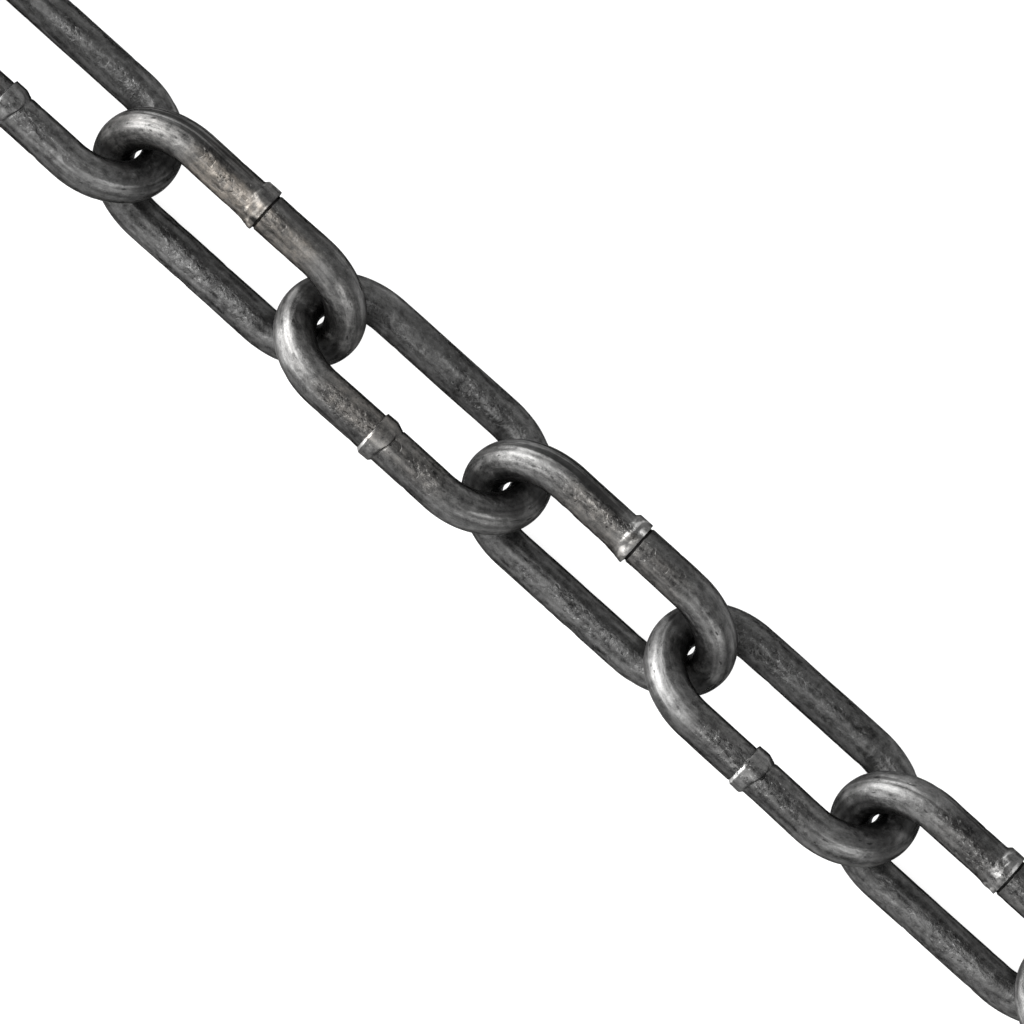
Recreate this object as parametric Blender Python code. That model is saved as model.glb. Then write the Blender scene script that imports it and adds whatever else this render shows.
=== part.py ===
"""One metre of long-link iron chain, laid out straight on the ground.

Every link is one round bar, bent to a ring with two straight legs and closed by a butt
weld in the middle of one leg. The links lean 45 degrees to one side and the other in
turn, so each one rests on its lower leg and stands square to its neighbours. +X runs
along the chain, +Z is up, and the ground is z = 0.
"""

from math import cos, pi, radians, sin

import bpy

# Sizes, in metres
LINK_COUNT = 13
BAR_DIAMETER = 0.0130
INNER_LENGTH = 0.0760
INNER_WIDTH = 0.0270
CROWN_DEPTH = 0.0212  # how far the bar's centre bulges past the ends of the legs
END_PLAY = 0.0009  # left between two links where they hook into each other
LEAN = radians(45)

# The weld collar, in the middle of the upper leg
COLLAR_LENGTH = 0.0073
COLLAR_STAND = 0.0011  # height above the bar's surface
COLLAR_SLOPE = 0.0010  # length of its shoulder at each end

# Facets: the bar has flat sides here, and a lower leg lies on one of them
BAR_SIDES = 12
CROWN_STEPS = 12
LEG_INSET = 0.0010  # the lower leg is exactly straight up to this far from its ends

BLACK_IRON = (0.085, 0.082, 0.078, 1.0)
IRON_METALLIC = 0.85
IRON_ROUGHNESS = 0.42

BAR_RADIUS = BAR_DIAMETER / 2
CORNER_RADIUS = BAR_RADIUS / cos(pi / BAR_SIDES)
COLLAR_FACTOR = (BAR_RADIUS + COLLAR_STAND) / BAR_RADIUS
LEG_OFFSET = (INNER_WIDTH + BAR_DIAMETER) / 2  # from the link's axis to a leg's centre
TIP_REACH = (INNER_LENGTH + BAR_DIAMETER) / 2  # from its middle to the bar's centre at a tip
LEG_END = TIP_REACH - CROWN_DEPTH
PITCH = INNER_LENGTH - END_PLAY
MIDDLE = (LINK_COUNT + 1) // 2
AXIS_HEIGHT = LEG_OFFSET * sin(LEAN) + BAR_RADIUS


def clear_scene():
    for obj in list(bpy.data.objects):
        bpy.data.objects.remove(obj, do_unlink=True)


def iron_material():
    material = bpy.data.materials.new("black iron")
    material.use_nodes = True
    shader = material.node_tree.nodes["Principled BSDF"]
    shader.inputs["Base Color"].default_value = BLACK_IRON
    shader.inputs["Metallic"].default_value = IRON_METALLIC
    shader.inputs["Roughness"].default_value = IRON_ROUGHNESS
    return material


def weld_stations():
    """Places along the welded leg, which lies at -Y, each with the bar's thickness there."""
    half = COLLAR_LENGTH / 2
    top = half - COLLAR_SLOPE
    thickness_at = {-half: 1.0, -top: COLLAR_FACTOR, top: COLLAR_FACTOR, half: 1.0}
    return [(along, -LEG_OFFSET, thickness) for along, thickness in thickness_at.items()]


def plain_stations():
    """The ends of the lower leg's straight stretch, at +Y, from right to left."""
    return [(side * (LEG_END - LEG_INSET), LEG_OFFSET, 1.0) for side in (1, -1)]


def crown_stations(side):
    """Places round one end of the link, which is +X for a side of 1 and -X for -1."""
    stations = []
    for step in range(CROWN_STEPS + 1):
        turn = pi * step / CROWN_STEPS
        along = side * (LEG_END + CROWN_DEPTH * sin(turn))
        across = -side * LEG_OFFSET * cos(turn)
        stations.append((along, across, 1.0))
    return stations


def link_curve(name, middle_x):
    """A closed bar in the XY plane, whose middle lies at middle_x from the object's origin."""
    curve = bpy.data.curves.new(name, "CURVE")
    curve.dimensions = "3D"
    curve.bevel_depth = CORNER_RADIUS
    curve.bevel_resolution = (BAR_SIDES - 4) // 2
    spline = curve.splines.new("POLY")
    stations = weld_stations() + crown_stations(1) + plain_stations() + crown_stations(-1)
    spline.points.add(len(stations) - 1)
    for point, (along, across, thickness) in zip(spline.points, stations):
        point.co = (middle_x + along, across, 0.0, 1.0)
        point.radius = thickness
    spline.use_cyclic_u = True
    return curve


def add_link(number, curve, collection):
    link = bpy.data.objects.new(f"link_{number}", curve)
    collection.objects.link(link)
    return link


def hook_on(link, number, neighbour, reach):
    """Hooks a link into its neighbour, turned a quarter, so that its weld comes on top.

    At each crossing the two links swing about the bar of the left-hand one. The link's
    origin is the middle of that bar, and everything beyond the link swings along.
    """
    link.parent = neighbour
    link.location = (reach, 0, 0)
    link.rotation_euler = (-pi / 2 if number % 2 == 0 else pi / 2, 0, 0)


def build_half(side, middle_link, curve, collection):
    """The links from the middle one out to one end, each hooked into the one before it."""
    neighbour = middle_link
    reach = TIP_REACH if side == 1 else TIP_REACH - PITCH
    for step in range(1, LINK_COUNT - MIDDLE + 1):
        number = MIDDLE + side * step
        link = add_link(number, curve, collection)
        hook_on(link, number, neighbour, reach)
        neighbour = link
        reach = side * PITCH


def build_chain():
    collection = bpy.data.collections.new("iron chain")
    bpy.context.scene.collection.children.link(collection)
    iron = iron_material()
    curves = {
        -1: link_curve("left link bar", -TIP_REACH),
        0: link_curve("middle link bar", 0.0),
        1: link_curve("right link bar", PITCH - TIP_REACH),
    }
    for curve in curves.values():
        curve.materials.append(iron)
    middle_link = add_link(MIDDLE, curves[0], collection)
    middle_link.location = (0, 0, AXIS_HEIGHT)
    middle_link.rotation_euler = (-LEAN, 0, 0)
    for side in (-1, 1):
        build_half(side, middle_link, curves[side], collection)


clear_scene()
build_chain()
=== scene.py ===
"""One metre of black long-link iron chain, lying straight on a pale studio floor.

Every link is one bent bar with two straight legs and two round crowns, butt-welded in the
middle of its upper leg. The bars carry rolled ridges, dents and pitted mill scale, the
welds keep their trimmed collars, and the outer bends are rubbed bright. The bends that face
the key light also carry a painted highlight, and painted shade darkens the inner outlines,
the throats, the crossings, the undersides and some flanks and lower legs.
"""

from math import atan2, cos, hypot, pi, radians, sin

import bmesh
import bpy
from mathutils import Matrix, Vector, noise


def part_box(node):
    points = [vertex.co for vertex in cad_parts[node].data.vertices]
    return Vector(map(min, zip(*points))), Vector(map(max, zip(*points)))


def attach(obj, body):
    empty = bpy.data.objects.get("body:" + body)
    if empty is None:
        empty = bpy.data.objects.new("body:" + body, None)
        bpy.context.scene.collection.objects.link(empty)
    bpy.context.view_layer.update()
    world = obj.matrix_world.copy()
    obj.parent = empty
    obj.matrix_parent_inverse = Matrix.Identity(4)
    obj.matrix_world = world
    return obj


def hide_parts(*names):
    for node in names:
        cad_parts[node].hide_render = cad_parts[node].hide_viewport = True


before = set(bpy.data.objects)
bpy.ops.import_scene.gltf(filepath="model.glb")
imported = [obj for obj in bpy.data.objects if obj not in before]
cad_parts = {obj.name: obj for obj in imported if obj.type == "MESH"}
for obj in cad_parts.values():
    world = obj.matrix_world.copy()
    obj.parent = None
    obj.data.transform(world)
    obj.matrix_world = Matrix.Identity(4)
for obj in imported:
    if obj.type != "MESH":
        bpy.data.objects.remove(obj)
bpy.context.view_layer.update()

MM = 0.001

# The links
BAR_RADIUS = 6.5 * MM
INNER_LENGTH = 76 * MM
INNER_WIDTH = 27 * MM
CROWN_DEPTH = 21.2 * MM  # how far the bar's centre bulges past the ends of the legs
LEAN = radians(45)
LEG_OFFSET = INNER_WIDTH / 2 + BAR_RADIUS
LEG_END = INNER_LENGTH / 2 + BAR_RADIUS - CROWN_DEPTH
AXIS_HEIGHT = LEG_OFFSET * sin(LEAN) + BAR_RADIUS
PATH_LENGTH = 4 * LEG_END + 2 * pi * LEG_OFFSET

# The worn bar
SKIN = 0.05 * MM  # how far the mean surface lies inside the bar's nominal size
SWELL_HEIGHT = 0.12 * MM
RIDGE_HEIGHT = 0.07 * MM
DENT_DEPTH = 0.16 * MM
RELIEF_TOP = 0.045 * MM
SEAM_DEPTH = 0.08 * MM

# The weld: a collar with a crisp lip at one end and a soft shoulder at the other
LIP_PLACE = -3.65 * MM  # along the welded leg, from its middle
COLLAR_LENGTH = 7.3 * MM
COLLAR_BLEND = 2 * MM  # either side of the collar's end, where the bar's own relief comes back
COLLAR_STAND = 1.06 * MM
LUMP_SIZE = 2.4 * MM
NOTCH_WIDTH = 0.75 * MM
NOTCH_EDGE = 0.4 * MM
# Painted shade: the crack at the foot of a lip is painted darker the deeper it is
SHADED_NOTCH = 0.3 * MM  # a notch this deep is quite black
SWAY_REACH = LEG_END + 6 * MM  # how far from the weld its two halves lie out of line

# A cracked collar, a pair being its measures on the inward and the outward side of the leg
CRACKED_STAND = (0.66 * COLLAR_STAND, COLLAR_STAND)
CRACKED_LOWEST = 0.15 * MM
CRACKED_LUMPS = 0.7 * MM
CRACKED_RISE = 0.3 * MM
CRACKED_SHOULDER = (0.6 * MM, 5.0 * MM)
CRACKED_END = (7.9 * MM, 6.4 * MM)
CRACKED_RAGGED = (1.0 * MM, 0.3 * MM)
FACETS = 8  # flats that the trimming tool cut round it
FACET_REACH = 0.3  # cosine of the angle from its middle at which a flat ends

# A chamfered collar, likewise
CHAMFERED_STAND = 0.88 * COLLAR_STAND
CHAMFERED_LUMPS = 0.12 * MM
CHAMFERED_END = (7.1 * MM, 5.7 * MM)
CHAMFERED_RAGGED = 0.4 * MM
CHAMFERED_SHOULDER = (0.4 * MM, 1.0 * MM)
LONG_SHOULDER = 2.8 * MM  # how much longer it is where the leg faces the link's middle
CHAMFER_EDGE = 0.22 * MM
CHAMFER_STEEPNESS = (2.4, 0.68)
GROOVE_DEPTH = 0.24 * MM
GROOVE_PLACE = 0.05 * MM  # beyond the collar's end
GROOVE_SIDES = (0.1 * MM, 0.45 * MM)

# Odd links have a chamfered weld and even ones a cracked one, and they differ in wear, painted highlight
# and painted shade
CHAMFERED = {
    "cracked": False,
    "leftward": -1,  # the picture's left along the link's own X
    "notch": 0.03 * MM,  # depth at the foot of the lip
    "seam_place": 0.75,  # radians round the bar from the link's outer side
    "left_highlight": 0.25,  # how brightly the bends facing -X are painted as bare iron, a painted highlight of the key light
    "flank": 0.0,  # painted shade on the upper leg's outward flank
    "lower_leg_shade": 0.25,  # painted shade on the lower leg
}
CRACKED = {
    "cracked": True,
    "leftward": 1,
    "notch": 0.32 * MM,
    "seam_place": 0.42,
    "left_highlight": 0.13,
    "flank": 0.35,
    "lower_leg_shade": 0.0,
}
BROWN_LINKS = {6: 0.9, 7: 0.4, 8: 0.35, 9: 0.05}  # how brown some upper legs are
BROWN_ELSEWHERE = 0.22  # how brown the others are at most

# Fineness of the mesh
SIDES = 78
STEP = 0.515 * MM
LIP_STEP = 0.1 * MM
COLLAR_STEP = 0.25 * MM
LIP_ZONE = 1.0 * MM
COLLAR_ZONE = 8.0 * MM
MERGE_DISTANCE = 0.01 * MM

# Directions at rest, for a link that is still in the XY plane with its welded leg at -Y
UPWARD = Vector((0, -sin(LEAN), cos(LEAN)))
ACROSS = Vector((0, cos(LEAN), sin(LEAN)))  # level, from the upper leg towards the lower one

# What the finish reads at every point of the bar, each from 0 to 1
MASKS = ("rubbed", "bare_and_highlight", "painted_shade_and_seam", "pitted", "scored", "brown")

# Where a mark begins and is full, as cosines of the angle from the link's outer or inner side
RUBBED_OUTER = (-0.5, 0.4)
SCORED_OUTER = (-0.2, 0.5)
DRAWN_OUTER = (-0.2, 0.3)
THROAT_INNER = (0.15, 0.9)

# The same as cosines of the angle from the way across the chain, up, down or left
FLANK_OUTWARD = (0.35, 0.75)
DRAWN_OUTWARD = (0.05, 0.35)
BROWN_OUTWARD = (0.15, 0.55)
FLANK_INWARD = (0.1, 0.6)
OUTLINE_INWARD = (0.86, 0.98)
SHADED_DOWNWARD = (-0.55, 0.1)
PITTED_UPWARD = (0.7, 0.95)
PITTED_SIDEWAYS = (0.35, 0.85)
HIGHLIGHT_LEFTWARD = (0.3, 0.75)

# The same as lengths
CROWN_BLEND = 5 * MM  # either side of a leg's end, where leg turns to crown
FLANK_REACH = 10 * MM  # bar this far across from the link's middle has a full inner flank
CROSSING_DARK = (0.5 * MM, 4 * MM)  # down a crown from the middle of the chain
CROSSING_CLEAR = (9 * MM, 15 * MM)
COLLAR_RUB = (0.15 * MM, 0.7 * MM)  # the collar's height over the bar
DRAWN_LEFTWARD = (-6 * MM, 14 * MM)
BROWN_LEFTWARD = (-8 * MM, 8 * MM)

# How strong a mark is
# The first three are painted shade: in a crown's throat, beside a crossing, and low down
THROAT_SHADE = 0.75
CROSSING_SHADE = 0.85
LOW_SHADE = 0.35
SEAM_DIRT = 0.4
SIDE_PITS = 0.6
CROWN_PITS = 0.5
LOWER_LEG_PITS = 0.75
PLAIN_SCORES = 0.35
BROWN_RIGHT = 0.65  # on the right half of a link, against the left
BROWN_RUB = 0.85  # how much of the brown is rubbed off outward flanks and crowns

# Patterns: fineness along the bar against across it, features to the metre, detail, roughness
PATTERNS = {
    "lines": (0.08, 470, 1.5, 0.5),
    "clouds": (0.5, 150, 3.0, 0.5),
    "mottle": (0.85, 500, 3.0, 0.6),
    "streaks": (0.22, 400, 1.5, 0.5),
    "grain": (1, 2700, 1.0, 0.5),
    "patches": (0.5, 110, 2.0, 0.5),
    "specks": (0.8, 900, 2.0, 0.6),
    "hollows": (0.8, 330, 1.0, 0.5),
    "scratches": (0.035, 600, 1.0, 0.5),
    "chips": (0.5, 620, 1.5, 0.6),
}

# Marks: their pattern, its value where they begin and are full, and the mask they keep to
MARKS = {
    "rough_patch": ("patches", 0.38, 0.56, "pitted"),
    "pits": ("specks", 0.42, 0.32, "rough_patch"),
    "flecks": ("specks", 0.60, 0.70, "rough_patch"),
    "craters": ("hollows", 0.37, 0.31, "pitted"),
    "scores": ("scratches", 0.51, 0.42, "scored"),
    "nicks": ("chips", 0.34, 0.27, "rubbed"),
}

# How much each of them counts in the scale's brightness, its roughness and its height
TONE = {"lines": 1.5, "streaks": 1.5, "clouds": 0.5, "grain": 0.8, "mottled": 1.7}
TONE_SHIFT = 1.15
DARKEST_TONE = 0.2
ROUGHNESS = {"lines": -0.2, "clouds": -0.15, "rubbed": 0.09, "painted_shade_and_seam": 0.12, "rough_patch": 0.1}
BASE_ROUGHNESS = 0.50
HEIGHTS = {
    "lines": 0.20, "streaks": 0.16, "clouds": 0.25, "grain": 0.025, "mottled": 0.26, "blisters": 0.26,
    "flecks": 0.04, "pits": -0.08, "scores": -0.05, "nicks": -0.08, "craters": -0.11,
}
MOTTLE_EVERYWHERE = 1.1
MOTTLE_IN_PATCHES = 0.5
RUBBED_CALM = 0.5  # how much flatter the rubbed bends are

# Brightness of the scale, of brown scale more than that, of rubbed iron, and of bare iron, which on the
# bends facing -X is a painted highlight
SCALE_SHINE = 0.069
BROWN_SHINE = 0.068
RUBBED_SHINE = 0.098
RUBBED_COVER = 0.8  # how much of the scale is worn off where it is rubbed
BARE_AND_HIGHLIGHT_SHINE = 0.5

# What lies over the iron, from below, painted shade among it: how much it covers, and its brightness
COVERS = {
    "flecks": (0.7, 0.22),
    "scores": (0.75, 0.015),
    "nicks": (0.75, 0.015),
    "painted_shade_and_seam": (0.88, 0.008),
    "pits": (0.8, 0.012),
    "craters": (0.42, 0.015),
}
IRON_TINT = (1, 0.995, 0.985, 1)
RUST_TINT = (1.10, 1.0, 0.89, 1)
RUST_MOTTLE = 2.6  # how patchy the brown is
RUST_SHIFT = -0.3
EDGE_TINT = (0.3, 0.3, 0.3, 1)  # keeps the bar's outline from shining

# The floor, whose own glow keeps it pale
FLOOR_RADIUS = 30
FLOOR_SIDES = 64
FLOOR_COLOUR = (0.2, 0.2, 0.2, 1)
FLOOR_GLOW = 0.9
FLOOR_ROUGHNESS = 0.9
FLOOR_GLOSS = 0.1
WHITE = (1, 1, 1, 1)

# Soft lights: narrowing along each axis, (azimuth, elevation), edge and core in degrees, strength
LIGHTS = {
    "key, low on the left": ((1, 1.45, 1), (188, 19), 59, 36, 6.8),
    "front": ((1.45, 1, 1), (265, 52), 73, 15, 1.7),
    "back": ((2.5, 1, 1), (90, 60), 60, 5, 0.5),
    "low strip behind": ((2.5, 1, 1), (90, 15), 35, 10, 0.7),
    "side, on the right": ((1, 1, 1), (347, 37), 23, 8, 6.0),
}
LIGHT_ALL_ROUND = 0.36

# The view of the photograph: straight down, a little from the -Y side, the chain falling to the right
PHOTO_TILT = radians(3.3)
PHOTO_TURN = radians(41.85)
PHOTO_SCALE = 3.304  # pixels per millimetre at the height of the chain's axis
PHOTO_SIZE = 1024
AIM_SHIFT = (5.6, -26.1)  # pixels from the crossing of links 7 and 8 to the picture's centre
CAMERA_DISTANCE = 3.0
SENSOR = 36.0


def smooth_step(value, low, high):
    share = min(max((value - low) / (high - low), 0.0), 1.0)
    return share * share * (3 - 2 * share)


def between(ends, share):
    return ends[0] + (ends[1] - ends[0]) * share


def sweep(bm, section, steps, centre=(0, 0, 0), shift=(0, 0, 0), turn=0.0):
    """Drags the open end of the bar along a straight or round stretch of its path."""
    made = bmesh.ops.spin(
        bm, geom=section, cent=centre, axis=(0, 0, 1), dvec=shift, angle=turn, steps=steps,
        use_merge=False, use_duplicate=False,
    )
    return made["geom_last"]


def run(bm, section, length, step):
    steps = round(abs(length) / step)
    return sweep(bm, section, steps, shift=(length / steps, 0, 0))


def bend(bm, section, side):
    steps = round(pi * LEG_OFFSET / STEP)
    return sweep(bm, section, steps, centre=(side * LEG_END, 0, 0), turn=pi)


def swept_bar():
    """The closed bar of a link in the XY plane, swept from the weld's lip all the way round.

    Its crowns are still half circles. Shaping the link stretches them to their depth.
    """
    bm = bmesh.new()
    stand = Matrix.Translation((LIP_PLACE, -LEG_OFFSET, 0)) @ Matrix.Rotation(pi / 2, 4, "Y")
    bmesh.ops.create_circle(bm, cap_ends=False, segments=SIDES, radius=BAR_RADIUS, matrix=stand)
    section = bm.verts[:] + bm.edges[:]
    section = run(bm, section, LIP_ZONE, LIP_STEP)
    section = run(bm, section, COLLAR_ZONE, COLLAR_STEP)
    section = run(bm, section, LEG_END - LIP_PLACE - LIP_ZONE - COLLAR_ZONE, STEP)
    section = bend(bm, section, 1)
    section = run(bm, section, -2 * LEG_END, STEP)
    section = bend(bm, section, -1)
    section = run(bm, section, LEG_END + LIP_PLACE - LIP_ZONE, STEP)
    section = run(bm, section, LIP_ZONE, LIP_STEP)
    bmesh.ops.remove_doubles(bm, verts=bm.verts, dist=MERGE_DISTANCE)
    bmesh.ops.recalc_face_normals(bm, faces=bm.faces)
    return bm


def station_of(point):
    """Where a point of the swept bar is.

    Gives the length along the bar from the weld's lip, the real bar's centre there, the way
    out of the link there, and the point's direction round the bar as a cosine and sine:
    (1, 0) on the outer side of the link and (-1, 0) on the side that faces its opening.
    """
    x, y, z = point
    if abs(x) <= LEG_END:
        side = 1 if y > 0 else -1
        centre = Vector((x, side * LEG_OFFSET, 0))
        out = Vector((0, side, 0))
        reach = abs(y) - LEG_OFFSET
        if side < 0:
            along = (x - LIP_PLACE) % PATH_LENGTH
        else:
            along = LEG_END - LIP_PLACE + pi * LEG_OFFSET + LEG_END - x
    else:
        side = 1 if x > 0 else -1
        turn = atan2(y, abs(x) - LEG_END)
        out = Vector((side * cos(turn), sin(turn), 0))
        centre = Vector((side * (LEG_END + CROWN_DEPTH * cos(turn)), LEG_OFFSET * sin(turn), 0))
        reach = hypot(abs(x) - LEG_END, y) - LEG_OFFSET
        if side > 0:
            along = LEG_END - LIP_PLACE + LEG_OFFSET * (turn + pi / 2)
        else:
            along = 3 * LEG_END - LIP_PLACE + LEG_OFFSET * (pi + pi / 2 - turn)
    size = hypot(reach, z)
    return along, centre, out, reach / size, z / size


def cracked_collar(along, outward, side, round_cos, round_sin, ragged, lumps, facets):
    """A lumpy collar, trimmed to flats, whose lip stands over a crack."""
    stand = between(CRACKED_STAND, side)
    for facing, low, slope in facets:
        aim = cos(facing) * round_cos + sin(facing) * round_sin
        if aim > FACET_REACH:
            stand = min(stand, (BAR_RADIUS + low - slope * along) / aim - BAR_RADIUS)
    stand = max(stand + lumps * CRACKED_LUMPS, CRACKED_LOWEST)
    ridge = COLLAR_STAND * smooth_step(outward, 0.7, 0.9)
    stand = min(max(stand, ridge), COLLAR_STAND)
    rise = smooth_step(along, 0, CRACKED_RISE)
    end = between(CRACKED_END, side) + ragged * between(CRACKED_RAGGED, side)
    return stand * rise * (1 - smooth_step(along, between(CRACKED_SHOULDER, side), end))


def chamfered_collar(along, outward, side, ragged, lumps):
    """A smooth collar with a narrow chamfer along its lip and a groove along its foot."""
    edge = CHAMFER_EDGE * smooth_step(along, 0, LIP_STEP)
    chamfer = edge + along * between(CHAMFER_STEEPNESS, side)
    stand = min(CHAMFERED_STAND + lumps * CHAMFERED_LUMPS, chamfer)
    end = between(CHAMFERED_END, side) + ragged * CHAMFERED_RAGGED
    off_groove = abs(along - end - GROOVE_PLACE)
    groove = GROOVE_DEPTH * (1 - smooth_step(off_groove, *GROOVE_SIDES))
    groove *= smooth_step(-outward, -0.55, 0.0)
    shoulder = between(CHAMFERED_SHOULDER, side) + LONG_SHOULDER * smooth_step(-outward, 0.35, 0.9)
    return stand * (1 - smooth_step(along, end - shoulder, end)) - groove


def collar_height(along, outward, round_cos, round_sin, weld):
    """How far the trimmed weld metal stands off the bar, along being 0 at the lip.

    outward is 1 on the side of the weld that faces away from the chain, and -1 on the other.
    """
    side = smooth_step(outward, -0.35, 0.6)  # 0 on the inward side, 1 on the outward one
    seed = Vector((0, 0, weld["seed"]))
    ragged = noise.noise(Vector((round_cos, round_sin, 0)) * 2.2 + seed)
    lumps = noise.noise(Vector((along, round_cos * BAR_RADIUS, round_sin * BAR_RADIUS)) / LUMP_SIZE + seed)
    if weld["cracked"]:
        return cracked_collar(along, outward, side, round_cos, round_sin, ragged, lumps, weld["facets"])
    return chamfered_collar(along, outward, side, ragged, lumps)


def weld_bare_and_highlight(along, outward, round_cos, round_sin, weld):
    """Bare steel that the trimming tool left on the weld: a few facets near a cracked lip, and a strip
    along a chamfered lip that is also a painted highlight of the light on the chamfer.
    """
    spot = Vector((along, round_cos * BAR_RADIUS, round_sin * BAR_RADIUS)) / MM
    if weld["cracked"]:
        scraped = noise.noise(Vector((spot.x / 1.6, spot.y / 3.0, spot.z / 3.0 + weld["seed"])))
        near_lip = 1 - smooth_step(spot.x, 4.5, 6.5)
        return 0.42 * smooth_step(scraped, 0.15, 0.4) * near_lip
    width = 0.95 + 0.25 * noise.noise(Vector((spot.y / 2, spot.z / 2, weld["seed"])))
    strip = smooth_step(spot.x, 0, 0.1) * (1 - smooth_step(spot.x, width - 0.12, width + 0.12))
    return 0.75 * strip * smooth_step(outward, -0.3, 0.1)


def notch_depth(along, weld):
    """The crack at the foot of the lip, which lies in the bar beyond the weld."""
    away = PATH_LENGTH - along if along > PATH_LENGTH / 2 else 4 * along
    return weld["notch"] * (1 - smooth_step(away, NOTCH_WIDTH - NOTCH_EDGE, NOTCH_WIDTH))


def bar_relief(along, round_cos, round_sin, seed):
    """Rolled swellings, lengthwise ridges and dents, as a height over the bar."""
    across = round_cos * BAR_RADIUS / MM
    upward = round_sin * BAR_RADIUS / MM + seed
    length = along / MM
    swell = noise.noise(Vector((length / 17, across / 6, upward / 6)))
    ridges = noise.noise(Vector((length / 16, across / 2.1, upward / 2.1)))
    dents = noise.noise(Vector((length / 4.2, across / 2.4, upward / 2.4 + 9.0)))
    bruise = smooth_step(dents, 0.15, 0.5) * smooth_step(abs(round_sin), 0.2, 0.7)
    return min(swell * SWELL_HEIGHT + ridges * RIDGE_HEIGHT - bruise * DENT_DEPTH, RELIEF_TOP)


def seam_share(along, round_cos, round_sin, weld):
    """The rolling seam, a fine dark line that wanders along the outer side of the bar."""
    wander = noise.noise(Vector((along / (25 * MM), weld["seed"], 5.0))) * 0.12
    away = abs(atan2(round_sin, round_cos) - weld["seam_place"] - wander)
    strength = noise.noise(Vector((along / (9 * MM), weld["seed"], 8.0))) + 0.75
    return (1 - smooth_step(away, 0.02, 0.11)) * min(max(strength, 0), 1)


def weld_sway(along, centre, out, shake):
    """The two halves of the welded leg meet a little out of line."""
    reach = 1 - smooth_step(abs(centre.x), 0, SWAY_REACH)
    lift = Vector((0, 0, 0.3 * shake.y)) * MM
    if along > PATH_LENGTH / 2:
        return -lift * reach
    sink = (0.1 + 0.5 * abs(shake.x)) * MM
    return (lift - out * sink) * reach


def link_style(number):
    """What tells one link's weld and bar from another's."""
    draw = Vector((number * 7.31, 2.7, 0.4))
    facets = []
    for step in range(FACETS):
        shake = noise.cell_vector(draw + Vector((0, step * 1.7, 0)))
        facing = 2 * pi * (step + 0.6 * shake.x) / FACETS
        low = (0.25 + 0.5 * shake.y) * MM
        slope = 0.08 * shake.z - 0.03
        facets.append((facing, low, slope))
    style = dict(CHAMFERED if number % 2 else CRACKED)
    style["seed"] = number * 3.77
    style["facets"] = facets
    style["brown"] = BROWN_LINKS.get(number, BROWN_ELSEWHERE * noise.cell(draw))
    style["shake"] = noise.cell_vector(Vector((number * 5.3, 1.1, 2.2))) - Vector((0.5, 0.5, 0.5))
    return style


def painted_shade_share(centre, facing, outward, round_cos, crown, on_collar, style):
    """Painted shade: darker low down, along the inner outline, in throats, beside crossings, on some flanks
    and on some lower legs.
    """
    on_leg = 1 - crown
    leg_side = min(max(centre.dot(ACROSS) / FLANK_REACH, -1), 1)  # 1 on the lower leg, -1 on the upper one
    inner_flank = outward * leg_side
    outline = smooth_step(inner_flank, *OUTLINE_INWARD)
    throat = THROAT_SHADE * crown * smooth_step(-round_cos, *THROAT_INNER)
    below = (centre + facing * BAR_RADIUS).dot(ACROSS)
    beside = smooth_step(below, *CROSSING_DARK) * (1 - smooth_step(below, *CROSSING_CLEAR))
    crossing = CROSSING_SHADE * crown * beside
    shade = LOW_SHADE * smooth_step(-facing.dot(UPWARD), *SHADED_DOWNWARD)
    if centre.y >= 0:
        flank = LOW_SHADE * smooth_step(inner_flank, *FLANK_INWARD)
        shade = max(shade, style["lower_leg_shade"] * on_leg, flank * on_leg)
    elif not on_collar:
        shade = max(shade, style["flank"] * smooth_step(outward, *FLANK_OUTWARD) * on_leg)
    return max(outline, throat, crossing, shade)


def pitted_share(facing, round_sin, crown, on_upper_leg):
    """Where the scale is pitted: on top and along the sides, less on crowns and lower legs."""
    on_top = smooth_step(facing.dot(UPWARD), *PITTED_UPWARD)
    on_sides = SIDE_PITS * smooth_step(abs(round_sin), *PITTED_SIDEWAYS)
    pitted = max(on_top, on_sides) * (1 - (1 - CROWN_PITS) * crown)
    return pitted if on_upper_leg else pitted * LOWER_LEG_PITS


def scored_share(centre, outward, round_cos, style):
    """Where lengthwise scores show: round the outer side, and strongly along cracked links."""
    scored = PLAIN_SCORES * smooth_step(round_cos, *SCORED_OUTER)
    if style["cracked"]:
        drawn = smooth_step(outward, *DRAWN_OUTWARD)
        drawn *= smooth_step(centre.x * style["leftward"], *DRAWN_LEFTWARD)
        scored = max(scored, drawn * smooth_step(round_cos, *DRAWN_OUTER))
    return scored


def brown_share(centre, outward, crown, style):
    """How brown an upper leg is: more on the left, and hardly on its outward flank and crowns."""
    left = smooth_step(centre.x * style["leftward"], *BROWN_LEFTWARD)
    warm = BROWN_RIGHT + (1 - BROWN_RIGHT) * left
    warm *= (1 - BROWN_RUB * smooth_step(outward, *BROWN_OUTWARD)) * (1 - BROWN_RUB * crown)
    return style["brown"] * warm


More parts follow.
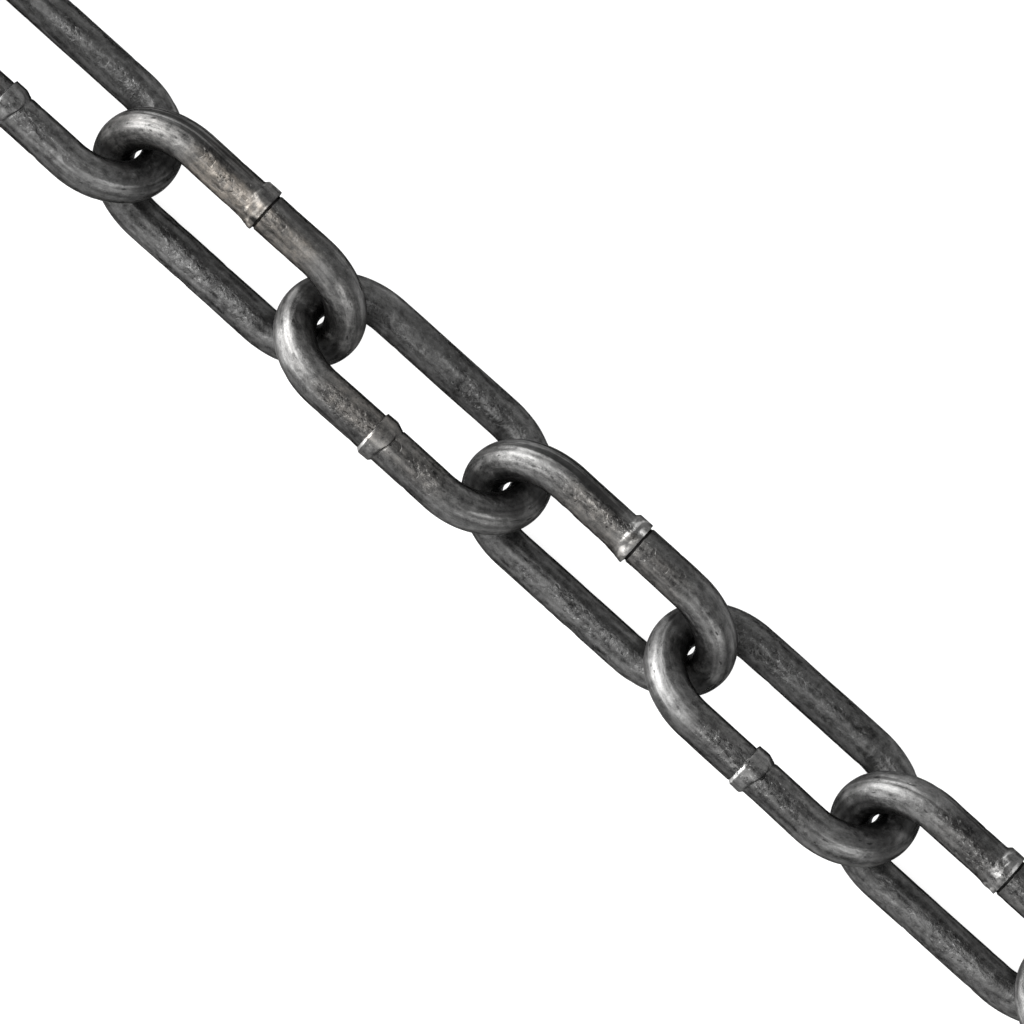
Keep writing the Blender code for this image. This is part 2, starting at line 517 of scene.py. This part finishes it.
def finish_at(station, facing, on_collar, height, notch, seam, style):
    """What the finish reads at one point of the bar, in the order of MASKS."""
    along, centre, _, round_cos, round_sin = station
    on_upper_leg = centre.y < 0
    outward = -facing.dot(ACROSS)
    crown = smooth_step(abs(centre.x), LEG_END - CROWN_BLEND, LEG_END + CROWN_BLEND)
    rubbed = crown * smooth_step(round_cos, *RUBBED_OUTER)
    # Painted highlight: the bends that face -X, towards the key light, are painted bright as bare iron
    bare_and_highlight = style["left_highlight"] * rubbed * smooth_step(facing.x * style["leftward"], *HIGHLIGHT_LEFTWARD)
    scored = scored_share(centre, outward, round_cos, style)
    if on_collar:
        rubbed = max(rubbed, smooth_step(height, *COLLAR_RUB))
        # On the weld, bare steel; along a chamfered lip it is also a painted highlight
        bare_and_highlight = weld_bare_and_highlight(along, outward, round_cos, round_sin, style)
        scored = 0.0
    # Painted shade on the inner outline, in throats, beside crossings, low down and on some flanks
    painted_shade = painted_shade_share(centre, facing, outward, round_cos, crown, on_collar, style)
    # The crack at the lip is painted black as shade; the rolling seam is its own dark line
    painted_shade_and_seam = max(painted_shade, notch / SHADED_NOTCH, SEAM_DIRT * seam)
    pitted = pitted_share(facing, round_sin, crown, on_upper_leg)
    brown = brown_share(centre, outward, crown, style) if on_upper_leg else 0.0
    return rubbed, bare_and_highlight, painted_shade_and_seam, pitted, scored, brown


def shape_link(bm, stations, number):
    """Gives every vertex of a swept bar its worn place, and returns what the finish reads."""
    style = link_style(number)
    places = []
    masks = {name: [] for name in MASKS}
    for vertex, station in zip(bm.verts, stations):
        along, centre, out, round_cos, round_sin = station
        on_upper_leg = centre.y < 0
        on_collar = on_upper_leg and along < COLLAR_LENGTH + COLLAR_BLEND
        facing = out * round_cos + Vector((0, 0, round_sin))
        seam = seam_share(along, round_cos, round_sin, style)
        height = bar_relief(along, round_cos, round_sin, style["seed"]) - seam * SEAM_DEPTH
        notch = 0.0
        sway = Vector((0, 0, 0))
        if on_collar:
            seam = 0.0
            height *= smooth_step(along, COLLAR_LENGTH - COLLAR_BLEND, COLLAR_LENGTH + COLLAR_BLEND)
            height += collar_height(along, -facing.dot(ACROSS), round_cos, round_sin, style)
        if on_upper_leg:
            notch = notch_depth(along, style)
            sway = weld_sway(along, centre, out, style["shake"])
        height -= notch
        vertex.co = centre + sway + facing * (BAR_RADIUS - SKIN + height)
        places.append((along, BAR_RADIUS * round_cos, BAR_RADIUS * round_sin))
        finish = finish_at(station, facing, on_collar, height, notch, seam, style)
        for name, share in zip(MASKS, finish):
            masks[name].append(share)
    return places, masks


def store_finish(mesh, number, places, masks):
    """Keeps the bar's own coordinates and the masks of its finish on the mesh."""
    place = mesh.attributes.new("bar_place", "FLOAT_VECTOR", "CORNER")
    shift = number * 0.5
    values = []
    for face in mesh.polygons:
        corners = [places[v] for v in face.vertices]
        wraps = max(c[0] for c in corners) - min(c[0] for c in corners) > PATH_LENGTH / 2
        for along, across, up in corners:
            if wraps and along < PATH_LENGTH / 2:
                along += PATH_LENGTH
            values.extend((along + shift, across, up))
    place.data.foreach_set("vector", values)
    for name, numbers in masks.items():
        layer = mesh.attributes.new(name, "FLOAT", "POINT")
        layer.data.foreach_set("value", numbers)


def make_link(number, plain_bar, stations, iron):
    low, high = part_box(f"link_{number}")
    middle = (low.x + high.x) / 2
    bm = plain_bar.copy()
    places, masks = shape_link(bm, stations, number)
    lean = Matrix.Rotation(-LEAN, 4, "X")
    if number % 2 == 0:
        lean = Matrix.Rotation(-LEAN - pi / 2, 4, "X") @ Matrix.Rotation(pi, 4, "Y")
    bmesh.ops.transform(bm, matrix=Matrix.Translation((middle, 0, AXIS_HEIGHT)) @ lean, verts=bm.verts)
    mesh = bpy.data.meshes.new(f"iron_link_{number}")
    bm.to_mesh(mesh)
    bm.free()
    mesh.shade_smooth()
    store_finish(mesh, number, places, masks)
    mesh.materials.append(iron)
    link = bpy.data.objects.new(f"iron_link_{number}", mesh)
    bpy.context.scene.collection.objects.link(link)
    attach(link, f"link_{number}")
    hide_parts(f"link_{number}")


def add_node(tree, kind, settings=None, **inputs):
    """A shader node with its settings, and its sockets set to values or linked to outputs.

    A socket is given by its name, or as i0, i1 and so on by its place.
    """
    node = tree.nodes.new(kind)
    for name, value in (settings or {}).items():
        setattr(node, name, value)
    for name, value in inputs.items():
        socket = node.inputs[int(name[1:]) if name[1:].isdigit() else name.replace("_", " ")]
        if isinstance(value, bpy.types.NodeSocket):
            tree.links.new(value, socket)
        else:
            socket.default_value = value
    return node


def stretched(tree, source, scale):
    return add_node(tree, "ShaderNodeMapping", Vector=source, Scale=scale).outputs["Vector"]


def ranged(tree, value, low, high, full=1.0):
    """A smooth rise from 0 at low to full at high, or a fall where high lies below low."""
    made = add_node(
        tree, "ShaderNodeMapRange", {"interpolation_type": "SMOOTHSTEP"},
        Value=value, From_Min=low, From_Max=high, To_Min=0.0, To_Max=full,
    )
    return made.outputs["Result"]


def maths(tree, operation, first, second):
    return add_node(tree, "ShaderNodeMath", {"operation": operation}, i0=first, i1=second).outputs["Value"]


def blended(tree, share, first, second):
    made = add_node(tree, "ShaderNodeMix", {"data_type": "RGBA"}, i0=share, i6=first, i7=second)
    return made.outputs[2]


def mixed(tree, share, first, second):
    made = add_node(tree, "ShaderNodeMix", {"data_type": "FLOAT"}, i0=share, i2=first, i3=second)
    return made.outputs[0]


def attribute(tree, name):
    return add_node(tree, "ShaderNodeAttribute", {"attribute_name": name})


def weighted(tree, value, weight, start):
    return maths(tree, "ADD", maths(tree, "MULTIPLY", value, weight), start)


def weighted_sum(tree, layers, weights, start):
    """The sum of the named layers, each times its weight, and of a start."""
    total = start
    for name, weight in weights.items():
        total = weighted(tree, layers[name], weight, total)
    return total


def pattern(tree, bar, name):
    lengthwise, fineness, detail, roughness = PATTERNS[name]
    made = add_node(
        tree, "ShaderNodeTexNoise", {"noise_dimensions": "3D"},
        Vector=stretched(tree, bar, (lengthwise, 1, 1)), Scale=fineness, Detail=detail, Roughness=roughness,
    )
    return made.outputs["Fac"]


def scale_layers(tree):
    """The masks, the patterns of the scale and the marks on it, by name."""
    bar = attribute(tree, "bar_place").outputs["Vector"]
    layers = {name: attribute(tree, name).outputs["Fac"] for name in MASKS}
    for name in PATTERNS:
        layers[name] = pattern(tree, bar, name)
    for name, (source, begins, full, place) in MARKS.items():
        layers[name] = maths(tree, "MULTIPLY", ranged(tree, layers[source], begins, full), layers[place])
    depth = weighted(tree, layers["rough_patch"], MOTTLE_IN_PATCHES, MOTTLE_EVERYWHERE)
    layers["mottled"] = maths(tree, "MULTIPLY", maths(tree, "SUBTRACT", layers["mottle"], 0.5), depth)
    layers["blisters"] = maths(tree, "MULTIPLY", layers["specks"], layers["rough_patch"])
    return layers


def iron_colour(tree, layers):
    """The brightness of the scale about its mean, then what lies on it with the painted shade, and a tinge
    of brown.
    """
    brown = layers["brown"]
    tone = maths(tree, "MAXIMUM", weighted_sum(tree, layers, TONE, -TONE_SHIFT), DARKEST_TONE)
    brightness = weighted(tree, maths(tree, "MULTIPLY", brown, brown), BROWN_SHINE, SCALE_SHINE)
    shine = maths(tree, "MULTIPLY", tone, brightness)
    worn = maths(tree, "MULTIPLY", tone, RUBBED_SHINE)
    shine = mixed(tree, maths(tree, "MULTIPLY", layers["rubbed"], RUBBED_COVER), shine, worn)
    shine = mixed(tree, layers["bare_and_highlight"], shine, maths(tree, "MULTIPLY", tone, BARE_AND_HIGHLIGHT_SHINE))
    for name, (share, cover) in COVERS.items():
        shine = mixed(tree, maths(tree, "MULTIPLY", layers[name], share), shine, cover)
    rust = maths(tree, "MULTIPLY", brown, weighted(tree, layers["mottle"], RUST_MOTTLE, RUST_SHIFT))
    tint = blended(tree, rust, IRON_TINT, RUST_TINT)
    tinted = add_node(tree, "ShaderNodeVectorMath", {"operation": "SCALE"}, i0=tint, Scale=shine)
    return tinted.outputs["Vector"]


def iron_material():
    material = bpy.data.materials.new("black mill scale iron")
    material.use_nodes = True
    tree = material.node_tree
    tree.nodes.clear()
    layers = scale_layers(tree)
    calm = weighted(tree, layers["rubbed"], -RUBBED_CALM, 1.0)
    height = weighted_sum(tree, layers, HEIGHTS, 0.0)
    bump = add_node(tree, "ShaderNodeBump", Strength=calm, Distance=MM, Height=height)
    shader = add_node(
        tree, "ShaderNodeBsdfPrincipled", Base_Color=iron_colour(tree, layers), Metallic=1.0,
        Roughness=weighted_sum(tree, layers, ROUGHNESS, BASE_ROUGHNESS), Normal=bump.outputs["Normal"],
    )
    shader.inputs["Specular Tint"].default_value = EDGE_TINT
    output = add_node(tree, "ShaderNodeOutputMaterial")
    tree.links.new(shader.outputs["BSDF"], output.inputs["Surface"])
    return material


def add_floor():
    bm = bmesh.new()
    bmesh.ops.create_circle(bm, cap_ends=True, segments=FLOOR_SIDES, radius=FLOOR_RADIUS)
    mesh = bpy.data.meshes.new("floor")
    bm.to_mesh(mesh)
    bm.free()
    material = bpy.data.materials.new("pale floor")
    material.use_nodes = True
    shader = material.node_tree.nodes["Principled BSDF"]
    shader.inputs["Base Color"].default_value = FLOOR_COLOUR
    shader.inputs["Emission Color"].default_value = WHITE
    shader.inputs["Emission Strength"].default_value = FLOOR_GLOW
    shader.inputs["Roughness"].default_value = FLOOR_ROUGHNESS
    shader.inputs["Specular IOR Level"].default_value = FLOOR_GLOSS
    mesh.materials.append(material)
    floor = bpy.data.objects.new("floor", mesh)
    bpy.context.scene.collection.objects.link(floor)


def heading(azimuth, elevation):
    """A direction: azimuth from +X towards +Y, and elevation over the floor, in degrees."""
    level = cos(radians(elevation))
    return Vector((cos(radians(azimuth)) * level, sin(radians(azimuth)) * level, sin(radians(elevation))))


def softbox(tree, direction, narrowing, towards, edge, core, strength):
    """A soft light far away: full within core degrees of its middle, and gone at edge degrees."""
    narrowed = add_node(
        tree, "ShaderNodeVectorMath", {"operation": "NORMALIZE"}, i0=stretched(tree, direction, narrowing),
    )
    aim = add_node(
        tree, "ShaderNodeVectorMath", {"operation": "DOT_PRODUCT"},
        i0=narrowed.outputs["Vector"], i1=heading(*towards),
    )
    return ranged(tree, aim.outputs["Value"], cos(radians(edge)), cos(radians(core)), strength)


def add_light():
    world = bpy.data.worlds.new("studio")
    bpy.context.scene.world = world
    world.use_nodes = True
    tree = world.node_tree
    direction = add_node(tree, "ShaderNodeTexCoord").outputs["Generated"]
    glow = LIGHT_ALL_ROUND
    for light in LIGHTS.values():
        glow = maths(tree, "ADD", softbox(tree, direction, *light), glow)
    background = tree.nodes["Background"]
    background.inputs["Color"].default_value = WHITE
    tree.links.new(glow, background.inputs["Strength"])


def add_camera():
    across = Vector((0, cos(PHOTO_TILT), -sin(PHOTO_TILT)))
    back = Vector((0, sin(PHOTO_TILT), cos(PHOTO_TILT)))
    along = Vector((1, 0, 0))
    right = along * cos(PHOTO_TURN) + across * sin(PHOTO_TURN)
    up = across * cos(PHOTO_TURN) - along * sin(PHOTO_TURN)
    meeting = (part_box("link_7")[1].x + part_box("link_8")[0].x) / 2
    aim = Vector((meeting, 0, AXIS_HEIGHT))
    aim += (right * AIM_SHIFT[0] + up * AIM_SHIFT[1]) * MM / PHOTO_SCALE
    lens = bpy.data.cameras.new("camera")
    lens.type = "PERSP"
    lens.sensor_width = SENSOR
    lens.lens = SENSOR * CAMERA_DISTANCE / (PHOTO_SIZE / PHOTO_SCALE * MM)
    lens.clip_start = 0.05
    lens.clip_end = 100
    camera = bpy.data.objects.new("camera", lens)
    placed = Matrix((right, up, back)).transposed().to_4x4()
    placed.translation = aim + back * CAMERA_DISTANCE
    camera.matrix_world = placed
    bpy.context.scene.collection.objects.link(camera)
    bpy.context.scene.camera = camera


iron = iron_material()
plain_bar = swept_bar()
stations = [station_of(vertex.co) for vertex in plain_bar.verts]
for node_name in sorted(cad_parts):
    make_link(int(node_name.split("_")[1]), plain_bar, stations, iron)
plain_bar.free()
add_floor()
add_light()
add_camera()
bpy.context.scene.view_settings.view_transform = "Standard"
